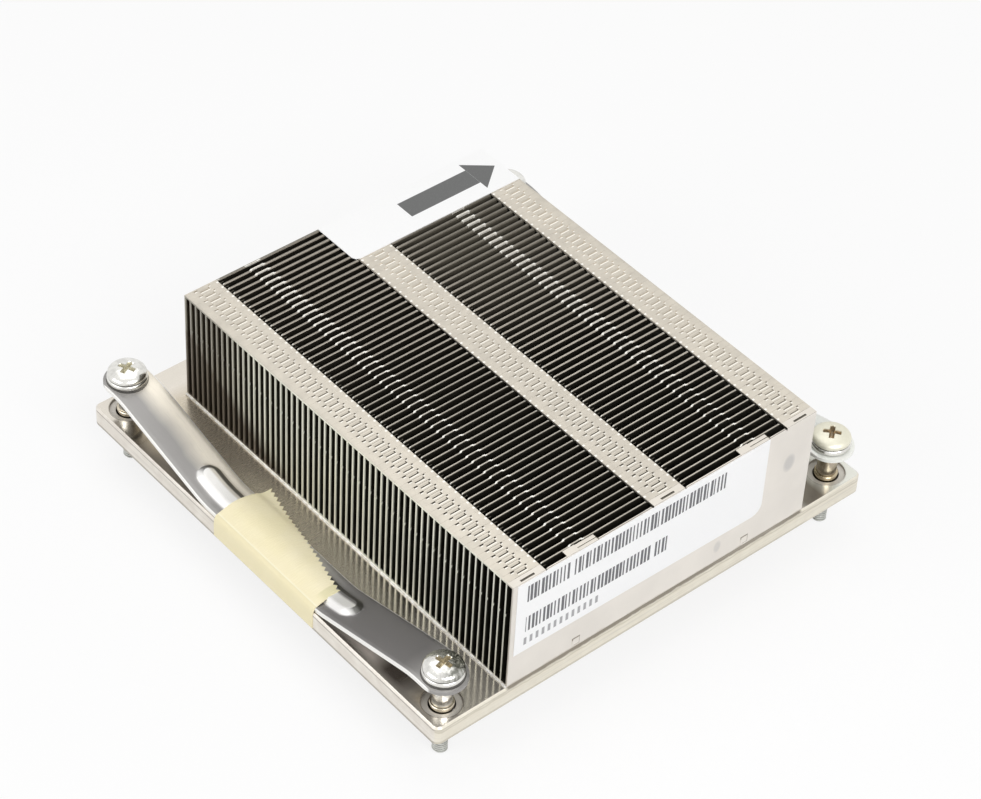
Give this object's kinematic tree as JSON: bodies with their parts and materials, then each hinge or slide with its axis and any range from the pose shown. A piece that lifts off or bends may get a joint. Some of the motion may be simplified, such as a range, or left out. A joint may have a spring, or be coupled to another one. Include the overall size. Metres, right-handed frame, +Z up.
{
  "type": "passive server cpu heatsink",
  "caption": "Low passive processor cooler: a square nickel-plated plate with a row of folded fins, leaf springs along two sides and captive screws at the corners.",
  "frame": {"origin": "centre of the base plate's flat underside, the face that meets the processor", "axes": "+X runs along the fins in the direction of the airflow, from the taped side to the other; -Y is the side with the white label; +Z is up, away from the processor"},
  "size_m": [0.0887, 0.088, 0.0323],
  "materials": {
    "plate_nickel": "nickel plated, smooth and semi-bright",
    "fin_nickel": "nickel plated sheet, satin",
    "solder": "bright tin solder",
    "spring_steel": "rolled stainless spring strip with fine scratches",
    "screw_steel": "bright nickel plated",
    "washer_steel": "bright plated",
    "ring_steel": "plain spring steel",
    "label_paper": "white printed film",
    "sticker_paper": "white printed film",
    "masking_tape": "pale cream masking tape, waxy"
  },
  "bodies": {
    "cooler": {"base_plate": "plate_nickel", "solder_layer": "solder", "label_fin": "fin_nickel", "end_fin": "fin_nickel", "fin_group_01": "fin_nickel", "fin_group_02": "fin_nickel", "fin_group_03": "fin_nickel", "fin_group_04": "fin_nickel", "fin_group_05": "fin_nickel", "fin_group_06": "fin_nickel", "fin_group_07": "fin_nickel", "fin_group_08": "fin_nickel", "fin_group_09": "fin_nickel", "fin_group_10": "fin_nickel", "fin_group_11": "fin_nickel", "fin_group_12": "fin_nickel", "fin_group_13": "fin_nickel", "fin_group_14": "fin_nickel", "fin_group_15": "fin_nickel", "fin_group_16": "fin_nickel", "fin_group_17": "fin_nickel", "fin_group_18": "fin_nickel", "fin_group_19": "fin_nickel", "leaf_spring_inlet": "spring_steel", "leaf_spring_outlet": "spring_steel", "washer_front": "washer_steel", "washer_right": "washer_steel", "washer_back": "washer_steel", "washer_left": "washer_steel", "front_label": "label_paper", "top_sticker": "sticker_paper", "tape": "masking_tape"},
    "screw_unit_front": {"screw_front": "screw_steel", "retaining_ring_front": "ring_steel"},
    "screw_unit_right": {"screw_right": "screw_steel", "retaining_ring_right": "ring_steel"},
    "screw_unit_back": {"screw_back": "screw_steel", "retaining_ring_back": "ring_steel"},
    "screw_unit_left": {"screw_left": "screw_steel", "retaining_ring_left": "ring_steel"}
  },
  "joints": [
    {"name": "screw_turn_front", "type": "hinge", "parent": "cooler", "child": "screw_unit_front", "pos_m": [-0.04, -0.04, 0], "axis": [0, 0, 1], "continuous": true},
    {"name": "screw_turn_right", "type": "hinge", "parent": "cooler", "child": "screw_unit_right", "pos_m": [0.04, -0.04, 0], "axis": [0, 0, 1], "continuous": true},
    {"name": "screw_turn_back", "type": "hinge", "parent": "cooler", "child": "screw_unit_back", "pos_m": [0.04, 0.04, 0], "axis": [0, 0, 1], "continuous": true},
    {"name": "screw_turn_left", "type": "hinge", "parent": "cooler", "child": "screw_unit_left", "pos_m": [-0.04, 0.04, 0], "axis": [0, 0, 1], "continuous": true}
  ]
}
